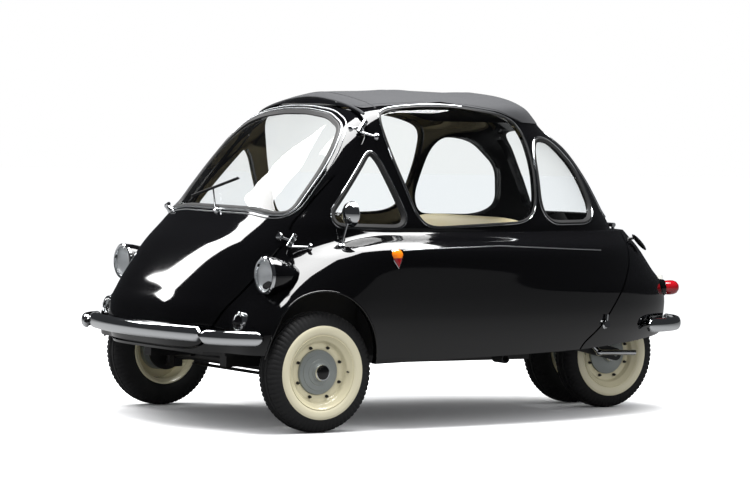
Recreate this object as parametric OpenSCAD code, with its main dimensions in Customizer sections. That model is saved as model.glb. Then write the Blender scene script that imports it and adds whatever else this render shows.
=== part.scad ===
// Bubble car with a front door, a fabric roof and close-set twin rear wheels.
// Millimetres. +X forward, +Y to the car's left, +Z up, ground at z = 0.

/* [Overall] */
// Length over the bumpers
body_l = 2550; // [2300:10:2800]
// Width over the wings
body_w = 1370; // [1240:10:1480]
// Height with the roof closed
body_h = 1320; // [1200:10:1440]
// Thickness of a wall, door or cover with its frame
skin_t = 26; // [18:1:30]
// Gap round a moving panel
seam = 8.5; // [6:0.5:10]
// Extra room round the door's top corners, which rise as it opens
corner_room = 6; // [0:0.5:12]
// Thickness of the window glass
glass_t = 5; // [4:0.5:7]

/* [Running gear] */
// Distance from the front axle to the rear one
wheelbase = 1760; // [1650:10:1840]
// Front axle ahead of the middle of the length
front_axle_x = 785; // [740:5:820]
// Distance between the front tyres' middles
front_track = 1220; // [1160:5:1230]
// Distance between the twin rear tyres' middles
twin_track = 232; // [190:2:300]
// Outside diameter of a tyre
tyre_d = 462; // [400:2:470]
// Width of a tyre
tyre_w = 112; // [90:1:120]
// Diameter of the rim's edge
rim_d = 286; // [260:2:300]
// Radius of the wheel spindle
spindle_r = 12; // [10:0.5:16]
// Running clearance in each bearing, on the radius
run_gap = 0.05; // [0.02:0.01:0.1]
// Radius of the kingpin
kingpin_r = 9; // [8:0.5:10]

/* [Lamps and bumpers] */
// Diameter of a headlamp
headlamp_d = 146; // [120:2:170]
// Height of a bumper blade
bumper_h = 62; // [50:1:80]
// Thickness of a bumper blade
bumper_t = 9; // [5:1:14]

/* [Controls and seat] */
// Diameter of the steering wheel
wheel_d = 390; // [340:5:420]
// Thickness of the seat cushion
cushion_t = 120; // [80:5:150]
// Width of the bench seat
seat_w = 900; // [760:10:940]
// Inside radius of a jacking tube
jack_r = 14; // [10:1:20]

/* [Hidden] */
$fn = 48;

// The section tables are drawn at these sizes and follow the overall ones.
TABLE = [2550, 1370, 1320];
K = [body_l / TABLE[0], body_w / TABLE[1], body_h / TABLE[2]];
function place(p) = [p[0] * K[0], p[1] * K[1], p[2] * K[2]];

// Columns: height, widest station, front reach, rear reach, half width,
// then the squareness of the front and of the rear half.
Z = 0;
XW = 1;
XF = 2;
XR = 3;
YW = 4;
NF = 5;
NR = 6;

// Cabin and the nose that the door covers
CABIN = [
    [215, 380, 1150, -1000, 430, 3.6, 2.4],
    [300, 380, 1200, -1080, 465, 3.8, 2.4],
    [380, 380, 1218, -1120, 488, 3.8, 2.4],
    [448, 380, 1210, -1130, 505, 3.8, 2.4],
    [520, 380, 1172, -1110, 525, 3.7, 2.4],
    [608, 380, 1112, -1060, 545, 3.6, 2.4],
    [703, 380, 1030, -1010, 562, 3.6, 2.4],
    [782, 380, 935, -965, 562, 3.8, 2.4],
    [843, 380, 868, -925, 547, 4.0, 2.4],
    [910, 380, 815, -882, 533, 4.0, 2.4],
    [978, 380, 762, -835, 515, 4.0, 2.4],
    [1090, 380, 668, -735, 480, 3.8, 2.4],
    [1177, 350, 578, -610, 455, 3.3, 2.4],
    [1225, 300, 520, -555, 438, 3.0, 2.5],
    [1255, 220, 490, -520, 405, 2.8, 2.6],
    [1280, 120, 462, -495, 330, 2.5, 2.5],
    [1298, 20, 425, -470, 230, 2.2, 2.4],
    [1311, -40, 330, -430, 130, 2.0, 2.2],
    [1318, -80, 150, -330, 60, 2.0, 2.0]];

// Front wings, flanks and tail
WIDE = [
    [215, 380, 1050, -1138, 640, 12.0, 2.3],
    [300, 380, 1080, -1203, 672, 12.0, 2.3],
    [380, 380, 1082, -1226, 684, 11.0, 2.3],
    [448, 380, 1062, -1229, 688, 8.0, 2.3],
    [520, 380, 1015, -1218, 689, 5.6, 2.3],
    [600, 380, 945, -1140, 689, 4.2, 2.3],
    [660, 380, 862, -1080, 687, 3.6, 2.3],
    [690, 380, 800, -1048, 680, 3.4, 2.3],
    [706, 380, 765, -1030, 668, 3.2, 2.3],
    [722, 380, 728, -1010, 645, 3.0, 2.3],
    [742, 380, 680, -990, 600, 2.8, 2.3],
    [765, 380, 620, -970, 540, 2.6, 2.3]];
blend_k = 14;

RINGS = [225, 300, 380, 448, 520, 600, 655, 685, 705, 722, 742, 765, 805, 850, 910, 978,
    1040, 1100, 1150, 1190, 1225, 1255, 1280, 1298, 1311, 1318];
COLS = 60;

// Smooth monotone curve through one column of a table
function row_of(t, z, i = 0) = (i >= len(t) - 2 || z < t[i + 1][Z]) ? i : row_of(t, z, i + 1);
function rise(t, c, i) = (t[i + 1][c] - t[i][c]) / (t[i + 1][Z] - t[i][Z]);
function lean(t, c, i) =
    i == 0 ? rise(t, c, 0) :
    i == len(t) - 1 ? rise(t, c, i - 1) :
    let (a = rise(t, c, i - 1), b = rise(t, c, i)) a * b <= 0 ? 0 : 2 * a * b / (a + b);
function at(t, c, z) =
    let (i = row_of(t, z), h = t[i + 1][Z] - t[i][Z], s = (z - t[i][Z]) / h)
    (2 * s * s * s - 3 * s * s + 1) * t[i][c]
    + (s * s * s - 2 * s * s + s) * h * lean(t, c, i)
    + (3 * s * s - 2 * s * s * s) * t[i + 1][c]
    + (s * s * s - s * s) * h * lean(t, c, i + 1);
function reach(a, b, n, c, s) = pow(pow(abs(c) / a, n) + pow(abs(s) / b, n), -1 / n);
function reach_at(t, z, c, s) =
    c >= 0
    ? reach(at(t, XF, z) - at(t, XW, z), at(t, YW, z), at(t, NF, z), c, s)
    : reach(at(t, XW, z) - at(t, XR, z), at(t, YW, z), at(t, NR, z), c, s);
function radius(z, c, s) =
    let (r = reach_at(CABIN, z, c, s))
    z >= WIDE[len(WIDE) - 1][Z] ? r :
    pow(pow(r, blend_k) + pow(reach_at(WIDE, z, c, s), blend_k), 1 / blend_k);
// Point of the outer surface at a table height and an angle from +X
function skin(z, a) =
    let (r = radius(z, cos(a), sin(a))) place([at(CABIN, XW, z) + r * cos(a), r * sin(a), z]);
function normal(z, a) =
    let (u = skin(z, a + 2) - skin(z, a - 2), v = skin(min(z + 4, 1318), a) - skin(z - 4, a),
        n = cross(u, v))
    n / norm(n);
function inset(z, a, d) = skin(z, a) - d * normal(z, a);

// Half width of the car at a station and height, both in table units
function side_y(x, z) =
    let (t = z < 742 ? WIDE : CABIN, w = at(t, XW, z),
        e = x >= w ? at(t, XF, z) - w : w - at(t, XR, z), n = x >= w ? at(t, NF, z) : at(t, NR, z))
    at(t, YW, z) * pow(max(0, 1 - pow(abs(x - w) / e, n)), 1 / n);

// Closed solid inside the surface, d below it
module skin_solid(d) {
    n = len(RINGS);
    lower = d > 0 ? 120 : 0;
    pts = [for (i = [0:n - 1]) for (j = [0:COLS - 1])
        let (p = inset(RINGS[i], 360 * j / COLS, d)) i == 0 ? [p[0], p[1], p[2] - lower] : p];
    sides = [for (i = [0:n - 2]) for (j = [0:COLS - 1])
        [i * COLS + j, (i + 1) * COLS + j, (i + 1) * COLS + (j + 1) % COLS, i * COLS + (j + 1) % COLS]];
    bottom = [[for (j = [0:COLS - 1]) j]];
    top = [[for (j = [COLS - 1:-1:0]) (n - 1) * COLS + j]];
    polyhedron(pts, concat(sides, bottom, top), convexity = 8);
}

module shell(d0, d1) {
    difference() {
        skin_solid(d0);
        skin_solid(d1);
    }
}

// Prism across the car from an outline in x and z
module across(outline, y0, y1, grow = 0) {
    translate([0, y1, 0])
        rotate([90, 0, 0])
            linear_extrude(y1 - y0)
                offset(delta = grow)
                    polygon([for (p = outline) [p[0] * K[0], p[1] * K[2]]]);
}

// Prism along the car from an outline in y and z
module along(outline, x0, x1, grow = 0) {
    translate([x0, 0, 0])
        rotate([90, 0, 90])
            linear_extrude(x1 - x0)
                offset(delta = grow)
                    polygon([for (p = outline) [p[0] * K[1], p[1] * K[2]]]);
}

module both_sides() {
    children();
    mirror([0, 1, 0])
        children();
}

function mirrored(edge) =
    concat(edge, [for (i = [len(edge) - 1:-1:0]) [-edge[i][0], edge[i][1]]]);

// Door edge on the left, from the sill up: y, z, x of the seam
DOOR_EDGE = [
    [350, 312, 1129], [398, 373, 1097], [432, 444, 1060], [462, 510, 1010], [478, 570, 965],
    [484, 640, 915], [490, 725, 850], [474, 790, 815], [474, 853, 759], [480, 925, 694], [480, 996, 628],
    [468, 1062, 558], [450, 1129, 514], [426, 1168, 506], [385, 1205, 498], [300, 1237, 490],
    [150, 1250, 490], [0, 1254, 490]];
// The door lifts as it opens, so its top edge leans forward; x and z
HEADER_CUT = [[460, 1233], [497, 1263], [582, 1332], [1500, 1332], [1500, 200], [1120, 200]];
SCREEN_EDGE = [
    [0, 849], [250, 843], [400, 826], [440, 839], [447, 893], [444, 998], [418, 1100],
    [372, 1170], [252, 1213], [90, 1228], [0, 1231]];
QUARTER = [[478, 1079], [681, 831], [664, 785], [376, 779], [345, 817], [443, 1041]];
SIDE = [
    [418, 1205], [371, 1240], [200, 1256], [30, 1258], [-216, 1230], [-335, 1180], [-352, 1031],
    [-325, 850], [-254, 802], [235, 779], [289, 818], [367, 1023]];
REAR_QUARTER = [
    [-425, 1145], [-381, 1092], [-358, 870], [-402, 798], [-658, 799], [-723, 847],
    [-675, 1012], [-542, 1126]];
REAR_EDGE = [[0, 815], [251, 821], [240, 900], [215, 1030], [170, 1140], [110, 1172], [0, 1180]];
ROOF = [
    [458, 1400], [458, 1262], [441, 1243], [371, 1254], [66, 1274], [-201, 1244], [-345, 1202],
    [-600, 1202], [-700, 1400]];
TAIL = [
    [-1500, 770], [-890, 770], [-843, 677], [-822, 624], [-714, 497], [-611, 385], [-487, 302],
    [-470, 150], [-1500, 150]];
BELOW = [
    [-1500, 348], [-1108, 325], [-534, 291], [38, 274], [545, 258], [560, 240], [1008, 240],
    [1012, 300], [1500, 285], [1500, 0], [-1500, 0]];

front_x = front_axle_x;
rear_x = front_axle_x - wheelbase;
wheel_z = tyre_d / 2;
ARCH = concat([[front_x + 240, 200]],
    [for (a = [0:15:180]) [front_x + 243 * cos(a), 262 + 280 * sin(a)]], [[front_x - 240, 200]]);

function at_corner(p) = p[1] > 1100 && p[1] < 1220;

module door_zone(grow = 0, room = 0) {
    intersection() {
        along(mirrored([for (p = DOOR_EDGE) let (e = at_corner(p) ? room : 0) [p[0] + e, p[1] + e]]),
            350, 1500, grow);
        across(concat([for (p = DOOR_EDGE) if (p[1] < 1210) [p[2] - 34, p[1]]], HEADER_CUT),
            -700, 700, grow);
    }
}

module body_shell() {
    color("black")
        resize([0, 0, 0])
            difference() {
                shell(0, skin_t);
                door_zone(seam, corner_room);
                across(TAIL, -800, 800, seam / 2);
                across(BELOW, -800, 800);
                across(ROOF, -800, 800);
                both_sides() {
                    across(QUARTER, 250, 800);
                    across(SIDE, 150, 800);
                    across(REAR_QUARTER, 120, 800);
                    across([for (p = ARCH) [p[0] / K[0], p[1] / K[2]]], 440, 800);
                }
                along(mirrored(REAR_EDGE), -1300, -300);
            }
}

// The roof stands a little proud of the shell and laps over nothing
module fabric_roof() {
    color("dimgray")
        resize([0, 0, 0])
            intersection() {
                shell(-2, 14);
                across(ROOF, -800, 800);
            }
}

module front_door() {
    color("black")
        resize([0, 0, 0])
            difference() {
                intersection() {
                    shell(0, skin_t);
                    door_zone();
                }
                along(mirrored(SCREEN_EDGE), 350, 1500);
            }
}

module pane(d) {
    intersection() {
        shell(d, d + glass_t);
        children();
    }
}

module windscreen() {
    color("lightblue", 0.4)
        resize([0, 0, 0])
            pane(8)
                along(mirrored(SCREEN_EDGE), 350, 1500);
}

module side_windows() {
    color("lightblue", 0.4)
        resize([0, 0, 0])
            pane(8)
                both_sides() {
                    across(QUARTER, 250, 800);
                    across(SIDE, 150, 800);
                    across(REAR_QUARTER, 120, 800);
                }
}

module rear_window() {
    color("lightblue", 0.4)
        resize([0, 0, 0])
            pane(8)
                along(mirrored(REAR_EDGE), -1300, -300);
}

module tail_cover() {
    color("black")
        resize([0, 0, 0])
            difference() {
                intersection() {
                    shell(0, skin_t);
                    across(TAIL, -800, 800, -seam / 2);
                }
                across(BELOW, -800, 800);
            }
}

// Door hinge line: its lower and upper barrels stand off the skin
HINGE_LOW = place([858, 540, 726]);
HINGE_TOP = place([492, 450, 1170]);
hinge_dir = (HINGE_TOP - HINGE_LOW) / norm(HINGE_TOP - HINGE_LOW);
hinge_r = 9;
hinge_pin_r = 4;
hinge_len = 24;

module on_hinge(p) {
    translate(p)
        rotate([0, acos(hinge_dir[2]), atan2(hinge_dir[1], hinge_dir[0])])
            children();
}

module bar(p, q, r) {
    v = q - p;
    translate(p)
        rotate([0, acos(v[2] / norm(v)), atan2(v[1], v[0])])
            cylinder(h = norm(v), r = r, $fn = 24);
}

// The feet sit on the pillar and on the door, each a little into the skin
PILLAR_FEET = [place([785, 548, 703]), place([438, 463, 1131])];
DOOR_FEET = [place([872, 476, 740]), place([520, 414, 1160])];

module door_hinges() {
    color("black")
        for (i = [0, 1]) {
            p = [HINGE_LOW, HINGE_TOP][i];
            on_hinge(p) {
                for (s = [-1, 1])
                    translate([0, 0, s * hinge_len - hinge_len / 4])
                        cylinder(h = hinge_len / 2, r = hinge_r, $fn = 32);
                translate([0, 0, -hinge_len])
                    cylinder(h = 2 * hinge_len, r = hinge_pin_r, $fn = 32);
            }
            bar(p - hinge_dir * hinge_len * 1.15, PILLAR_FEET[i], hinge_len / 5);
        }
}

module door_hinge_arms() {
    color("black")
        for (i = [0, 1]) {
            p = [HINGE_LOW, HINGE_TOP][i];
            difference() {
                union() {
                    on_hinge(p)
                        translate([0, 0, -hinge_len / 2])
                            cylinder(h = hinge_len, r = hinge_r, $fn = 32);
                    bar(p, DOOR_FEET[i], 5);
                }
                on_hinge(p)
                    translate([0, 0, -hinge_len])
                        cylinder(h = 2 * hinge_len, r = hinge_pin_r + run_gap, $fn = 32);
            }
        }
}

module door_handle() {
    color("silver")
        translate(place([862, -420, 800])) {
            rotate([0, 60, -30]) {
                cylinder(h = 34, r = 13);
                translate([0, 0, 28])
                    hull() {
                        cylinder(h = 12, r = 11);
                        translate([10, 62, 6])
                            cylinder(h = 10, r = 7);
                    }
            }
        }
}

WIPER_PIVOT = place([868, 60, 826]);

module wiper() {
    color("silver") {
        translate(WIPER_PIVOT - [20, 0, 0])
            rotate([0, 70, 0])
                cylinder(h = 44, r = 10);
        bar(WIPER_PIVOT + [20, 0, 8], WIPER_PIVOT + [-12, -120, 96], 3.5);
        bar(WIPER_PIVOT + [12, -10, 150], WIPER_PIVOT + [-22, -190, 60], 4);
    }
}

module door_trim() {
    color("tan")
        resize([0, 0, 0])
            intersection() {
                shell(skin_t, skin_t + 4);
                along([[-400, 400], [400, 400], [430, 700], [400, 800], [-400, 800], [-430, 700]],
                    500, 1500);
            }
}

// Lamps
HEADLAMP = place([990, 565, 597]);
headlamp_r = headlamp_d / 2;

module headlamps() {
    color("black")
        both_sides()
            translate(HEADLAMP)
                rotate([0, 90, 0])
                    rotate_extrude($fn = 48)
                        polygon([[0, -150], [30, -146], [52, -110], [headlamp_r - 6, -60],
                            [headlamp_r, -24], [headlamp_r, -6], [headlamp_r - 8, -4],
                            [headlamp_r - 8, -14], [0, -14]]);
}

module headlamp_lenses() {
    color("white")
        both_sides()
            translate(HEADLAMP)
                rotate([0, 90, 0])
                    rotate_extrude($fn = 48)
                        polygon([[0, -14], [headlamp_r - 8, -14], [headlamp_r - 8, -4],
                            [headlamp_r * 0.6, 6], [headlamp_r * 0.3, 11], [0, 12]]);
}

MARKER = place([1072, 525, 421]);

module marker_lamps() {
    color("silver")
        both_sides()
            translate(MARKER)
                rotate([0, 90, 0])
                    rotate_extrude($fn = 48)
                        polygon([[0, -30], [33, -30], [39, 4], [34, 14], [20, 24], [0, 28]]);
}

SIDE_LAMP = place([469, 686, 686]);

module side_lamps() {
    color("orange")
        both_sides()
            translate([SIDE_LAMP[0], side_y(469, 686) * K[1] - 8, SIDE_LAMP[2]])
                hull() {
                    rotate([-76, 0, 0])
                        cylinder(h = 20, r1 = 26, r2 = 15);
                    translate([0, 10, -42])
                        rotate([-76, 0, 0])
                            cylinder(h = 8, r = 5);
                }
}

TAIL_LAMP = place([-1196, 288, 518]);

module tail_lamps() {
    color("red")
        both_sides()
            translate([TAIL_LAMP[0], TAIL_LAMP[1], TAIL_LAMP[2]])
                rotate([0, -90, -20])
                    rotate_extrude($fn = 48)
                        polygon([[0, -70], [26, -70], [30, 4], [26, 22], [14, 34], [0, 38]]);
}

// Bumpers: an arc of radius r through the middle, with a C section
module blade(r, a0, a1) {
    rotate([0, 0, a0])
        rotate_extrude(angle = a1 - a0, $fn = 200)
            translate([r - 26, 0])
                polygon([[0, -bumper_h / 2], [18, -bumper_h / 2], [26, -bumper_h / 3],
                    [26, bumper_h / 3], [18, bumper_h / 2], [0, bumper_h / 2],
                    [0, bumper_h / 2 - bumper_t], [26 - bumper_t, bumper_h / 4],
                    [26 - bumper_t, -bumper_h / 4], [0, bumper_t - bumper_h / 2]]);
}

centre_r = 1461;

module centre_bumper() {
    color("silver") {
        translate([body_l / 2 - centre_r, 0, 369 * K[2]])
            blade(centre_r, -17.6, 17.6);
        both_sides()
            bar(place([1263, 150, 369]), place([1196, 150, 372]), 14);
    }
}

module front_corner_bumpers() {
    color("silver")
        both_sides() {
            translate(place([938, 402, 362]))
                rotate([0, 0, 14])
                    blade(286, 0, 52);
            bar(place([1190, 520, 362]), place([1060, 520, 362]), 12);
        }
}

module rear_bumpers() {
    color("silver")
        both_sides() {
            translate([345 - body_l / 2, 148 * K[1], 372 * K[2]])
                blade(340, 90, 175);
            bar(place([-1155, 388, 372]), place([-1060, 340, 376]), 12);
        }
}

module number_plate() {
    color("white") {
        translate([-body_l / 2, -130, 430 * K[2]])
            cube([4, 260, 130]);
        both_sides()
            bar(place([-1272, 80, 500]), place([-1245, 80, 500]), 6);
    }
}

// Tail hinge: two barrels along Y just below the rear window, latches low at the sides
TAIL_HINGE = place([-980, 0, 779]);

module tail_fittings() {
    color("silver") {
        both_sides()
            translate([-628 * K[0], side_y(-611, 385) * K[1] - 9, 386 * K[2]])
                rotate([-80, 0, 0])
                    cylinder(h = 24, r = 14);
        for (s = [-1, 1])
            translate([TAIL_HINGE[0], s * 130 * K[1] - 30, TAIL_HINGE[2]]) {
                rotate([-90, 0, 0])
                    cylinder(h = 60, r = 9);
                for (t = [10, 50])
                    translate([0, t, 0])
                        bar([0, 0, 0], [-4, 0, -36 * K[2]], 7);
            }
    }
}

MIRROR = place([640, 600, 833]);

module mirror_head() {
    rotate([0, 90, 0])
        rotate_extrude($fn = 40)
            polygon([[0, -24], [44, -24], [50, -18], [42, 6], [26, 16], [0, 22]]);
}

module wing_mirror() {
    color("silver") {
        translate(MIRROR)
            mirror_head();
        bar(MIRROR - [0, 0, 10], place([665, 590, 722]), 5);
        translate(place([665, 590, 716]))
            cylinder(h = 12, r = 14);
    }
}

module side_trims() {
    color("beige")
        resize([0, 0, 0])
            intersection() {
                shell(skin_t, skin_t + 4);
                both_sides()
                    across([[-380, 330], [520, 330], [520, 420], [450, 560], [560, 700], [560, 745],
                        [-380, 745]], 300, 800);
            }
}

floor_z = 282;
tub_y = 425;

module floor_pan() {
    color("dimgray")
        resize([0, 0, 0])
            difference() {
                intersection() {
                    skin_solid(skin_t);
                    union() {
                        translate([-430 * K[0], -700, floor_z * K[2]])
                            cube([916 * K[0], 1400, 16]);
                        difference() {
                            translate([470 * K[0], -tub_y * K[1], floor_z * K[2]])
                                cube([650 * K[0], 2 * tub_y * K[1], 250]);
                            translate([400 * K[0], 14 - tub_y * K[1], floor_z * K[2] + 16])
                                cube([900 * K[0], 2 * tub_y * K[1] - 28, 300]);
                        }
                        both_sides()
                            translate([470 * K[0], (tub_y - 10) * K[1], floor_z * K[2]])
                                cube([16, 300, 250]);
                        for (s = [-1, 1])
                            translate([-430 * K[0], s * 300 * K[1] - 25, (floor_z - 50) * K[2]])
                                cube([1440 * K[0], 50, 52]);
                    }
                }
                intersection() {
                    door_zone(10);
                    shell(-1, skin_t + 14);
                }
                both_sides()
                    across([for (p = ARCH) [p[0] / K[0], p[1] / K[2]]], 440, 800);
            }
}

module rear_bulkhead() {
    color("dimgray")
        resize([0, 0, 0])
            difference() {
                intersection() {
                    skin_solid(skin_t);
                    across([[-400, 282], [-430, 282], [-480, 740], [-850, 758], [-850, 772],
                        [-466, 754]], -800, 800);
                }
                across(TAIL, -800, 800, seam + 3);
            }
}

// Bench seat
seat_z = 500;

module seat_frame() {
    color("dimgray") {
        translate([-330 * K[0], -seat_w / 2 + 20, floor_z * K[2] + 16])
            cube([430 * K[0], seat_w - 40, (seat_z - floor_z) * K[2] - cushion_t - 19.5]);
    }
}

module seat_cushion() {
    color("beige")
        translate([-340 * K[0], -seat_w / 2, seat_z * K[2] - cushion_t - 3])
            cube([460 * K[0], seat_w, cushion_t]);
}

module seat_backrest() {
    color("beige")
        translate([-337 * K[0], -seat_w / 2 + 10, (seat_z - 2) * K[2] - 0.6])
            rotate([0, -12, 0])
                cube([90, seat_w - 20, 310]);
}

// Steering
STEER_HUB = place([500, 190, 700]);
STEER_FOOT = place([800, 190, 320]);
steer_dir = (STEER_HUB - STEER_FOOT) / norm(STEER_HUB - STEER_FOOT);

module on_column(p) {
    translate(p)
        rotate([0, acos(steer_dir[2]), atan2(steer_dir[1], steer_dir[0])])
            children();
}

module steering_column() {
    color("dimgray") {
        bar(STEER_FOOT, STEER_HUB - steer_dir * 60, 17);
        on_column(STEER_HUB - steer_dir * 60)
            cylinder(h = 52, r = 8, $fn = 32);
        translate([STEER_FOOT[0] - 45, STEER_FOOT[1] - 40, (floor_z + 16) * K[2]])
            cube([100, 80, 50]);
    }
}

module steering_wheel() {
    color("ivory")
        on_column(STEER_HUB)
            difference() {
                union() {
                    rotate_extrude($fn = 72)
                        translate([wheel_d / 2 - 11, 0])
                            circle(r = 11, $fn = 24);
                    translate([0, 0, -46])
                        cylinder(h = 50, r = 30);
                    for (a = [90, 210, 330])
                        rotate([0, 0, a])
                            translate([24, -9, -22])
                                rotate([0, -6, 0])
                                    cube([wheel_d / 2 - 42, 18, 8]);
                }
                translate([0, 0, -70])
                    cylinder(h = 66, r = 8 + run_gap, $fn = 32);
            }
}

module foot_controls() {
    color("dimgray") {
        for (y = [80, 170, 260])
            translate(place([860, y, floor_z]) + [0, 0, 16]) {
                translate([0, -6, 0])
                    cube([14, 12, 92]);
                translate([-8, -26, 84])
                    rotate([0, -24, 0])
                        cube([12, 52, 60]);
            }
        translate(place([330, 430, floor_z]) + [0, 0, 16])
            cylinder(h = 30, r = 30);
        bar(place([330, 430, floor_z]) + [0, 0, 40], place([300, 425, 560]), 6);
        translate(place([300, 425, 566]))
            sphere(r = 17);
    }
}

// Jacking tubes under the sills, open outwards
module jacking_tubes() {
    color("dimgray")
        for (s = [-1, 1])
            difference() {
                translate([-90 * K[0], s * 600 * K[1] - 35, floor_z * K[2] - 18])
                    rotate([-90, 0, 0])
                        cylinder(h = 70, r = jack_r + 5);
                translate([-90 * K[0], s * 600 * K[1] - 60, floor_z * K[2] - 18])
                    rotate([-90, 0, 0])
                        cylinder(h = 120, r = jack_r);
            }
}

// Front axle: a cross tube with a fork at each end for the kingpin
front_y = front_track / 2;
pin_y = front_y - 95;
fork_h = 96;

module front_axle_beam() {
    color("dimgray") {
        difference() {
            union() {
                translate([front_x, -pin_y + 60, wheel_z])
                    rotate([-90, 0, 0])
                        cylinder(h = 2 * pin_y - 120, r = 26);
                for (s = [-1, 1]) {
                    translate([front_x - 20, s * (pin_y - 46) - 18, wheel_z - fork_h / 2 - 14])
                        cube([40, 36, fork_h + 28]);
                    for (t = [-1, 1])
                        translate([front_x, s * pin_y, wheel_z + t * (fork_h / 2 + 7) - 7]) {
                            cylinder(h = 14, r = 20);
                            translate([-20, s < 0 ? 0 : -40, 0])
                                cube([40, 40, 14]);
                        }
                }
            }
            for (s = [-1, 1])
                translate([front_x, s * pin_y, 0])
                    cylinder(h = 600, r = kingpin_r + run_gap);
        }
        for (s = [-1, 1])
            translate([front_x - 45, s * 300 * K[1] - 32, (floor_z - 56) * K[2]])
                cube([90, 64, 50]);
    }
}

arm_x = -118;
arm_drop = -34;

// s is +1 on the left; the spindle points away from the car
module knuckle(s) {
    color("dimgray")
        translate([front_x, s * pin_y, wheel_z]) {
            cylinder(h = fork_h + 36, r = kingpin_r, center = true);
            cylinder(h = fork_h - 4, r = 17, center = true);
            rotate([-90 * s, 0, 0])
                cylinder(h = front_y - pin_y + 20, r = spindle_r);
            rotate([-90 * s, 0, 0])
                translate([0, 0, 34])
                    cylinder(h = 7, r = 82);
            translate([arm_x, -8, arm_drop - 6])
                cube([-arm_x, 16, 12]);
            translate([arm_x, 0, arm_drop - 6])
                cylinder(h = 12, r = 14);
            if (s > 0)
                translate([arm_x, 0, arm_drop - 24])
                    cylinder(h = 24, r = 6);
        }
}

module knuckle_left() {
    knuckle(1);
}

module knuckle_right() {
    knuckle(-1);
}

module tie_rod() {
    color("dimgray")
        translate([front_x + arm_x, 0, wheel_z + arm_drop - 22])
            difference() {
                union() {
                    translate([0, pin_y, -7])
                        cylinder(h = 16, r = 13);
                    translate([0, -pin_y, -7])
                        cylinder(h = 10, r = 13);
                    translate([0, -pin_y, 0])
                        rotate([-90, 0, 0])
                            cylinder(h = 2 * pin_y, r = 7);
                }
                translate([0, pin_y, -30])
                    cylinder(h = 60, r = 6 + run_gap);
            }
}

// Wheels: local axis Z points out of the car
rim_r = rim_d / 2;
bead_r = rim_r - 14;
hub_r = 87;
nut_r = 100;

module tyre_ring() {
    w = tyre_w / 2;
    r = tyre_d / 2;
    rotate_extrude($fn = 96)
        polygon([[bead_r, -w + 16], [rim_r + 1, -w + 4], [rim_r + 34, -w], [r - 26, -w + 5],
            [r - 7, -w + 16], [r, -w + 32], [r, w - 32], [r - 7, w - 16], [r - 26, w - 5],
            [rim_r + 34, w], [rim_r + 1, w - 4], [bead_r, w - 16]]);
}

module rim_ring() {
    w = tyre_w / 2;
    difference() {
        rotate_extrude($fn = 96)
            polygon([[hub_r - 22, w - 40], [nut_r + 8, w - 40], [nut_r + 12, w - 26],
                [bead_r - 6, w - 18], [rim_r - 4, w], [rim_r, w - 4],
                [bead_r - 0.2, w - 15], [bead_r - 0.2, 15 - w], [rim_r, 4 - w],
                [rim_r - 4, -w], [bead_r - 6, 18 - w], [bead_r - 6, w - 40],
                [bead_r - 12, w - 46], [hub_r - 22, w - 48]]);
        for (a = [0:45:315])
            rotate([0, 0, a])
                translate([nut_r, 0, 0])
                    cylinder(h = 80, r = 5);
    }
}

module hub_core(bore) {
    w = tyre_w / 2;
    difference() {
        union() {
            rotate_extrude($fn = 96)
                polygon([[0, w - 62], [70, w - 62], [hub_r + 22, w - 56], [hub_r + 22, w - 48],
                    [hub_r - 22.2, w - 48], [hub_r - 22.2, w - 40], [hub_r, w - 40],
                    [hub_r, w - 30], [60, w - 22], [34, w - 16], [26, w + 2], [22, w + 6],
                    [0, w + 8]]);
        }
        translate([0, 0, -80])
            cylinder(h = 80 + w - 20, r = bore);
    }
}

module wheel_at(x, y, out) {
    translate([x, y, wheel_z])
        rotate([-90 * out, 0, 0])
            children();
}

module hub_left() {
    color("silver")
        wheel_at(front_x, front_y, 1)
            hub_core(spindle_r + run_gap);
}

module hub_right() {
    color("silver")
        wheel_at(front_x, -front_y, -1)
            hub_core(spindle_r + run_gap);
}

module front_rim_left() {
    color("beige")
        wheel_at(front_x, front_y, 1)
            rim_ring();
}

module front_rim_right() {
    color("beige")
        wheel_at(front_x, -front_y, -1)
            rim_ring();
}

module front_tyre_left() {
    color("black")
        wheel_at(front_x, front_y, 1)
            tyre_ring();
}

module front_tyre_right() {
    color("black")
        wheel_at(front_x, -front_y, -1)
            tyre_ring();
}

twin_y = twin_track / 2;
arm_y = twin_y + tyre_w / 2 + 24;

module rear_axle() {
    color("silver") {
        for (s = [-1, 1])
            wheel_at(rear_x, s * twin_y, s)
                hub_core(8);
        wheel_at(rear_x, -arm_y - 6, 1)
            cylinder(h = 2 * arm_y + 12, r = 10);
    }
}

module rear_rims() {
    color("beige")
        for (s = [-1, 1])
            wheel_at(rear_x, s * twin_y, s)
                rim_ring();
}

module rear_tyres() {
    color("black")
        for (s = [-1, 1])
            wheel_at(rear_x, s * twin_y, s)
                tyre_ring();
}

PIVOT = [-560, 0, 330];

module rear_swing_arm() {
    color("dimgray") {
        difference() {
            union() {
                for (s = [-1, 1]) {
                    hull() {
                        translate([rear_x, s * arm_y - 9, wheel_z])
                            rotate([-90, 0, 0])
                                cylinder(h = 18, r = 26);
                        translate([PIVOT[0] * K[0], s * arm_y - 9, PIVOT[2] * K[2]])
                            rotate([-90, 0, 0])
                                cylinder(h = 18, r = 30);
                    }
                }
                translate([PIVOT[0] * K[0], -arm_y, PIVOT[2] * K[2]])
                    rotate([-90, 0, 0])
                        cylinder(h = 2 * arm_y, r = 22);
            }
            translate([rear_x, -300, wheel_z])
                rotate([-90, 0, 0])
                    cylinder(h = 600, r = 10 + run_gap);
        }
        for (s = [-1, 1])
            translate([PIVOT[0] * K[0] - 25, s * (arm_y - 50) - 12, PIVOT[2] * K[2]])
                cube([160 * K[0], 24, 40]);
    }
}

module engine_block() {
    color("gray")
        translate([-775 * K[0], -150, 400 * K[2]])
            cube([304 * K[0], 300, 260 * K[2]]);
}

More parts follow.
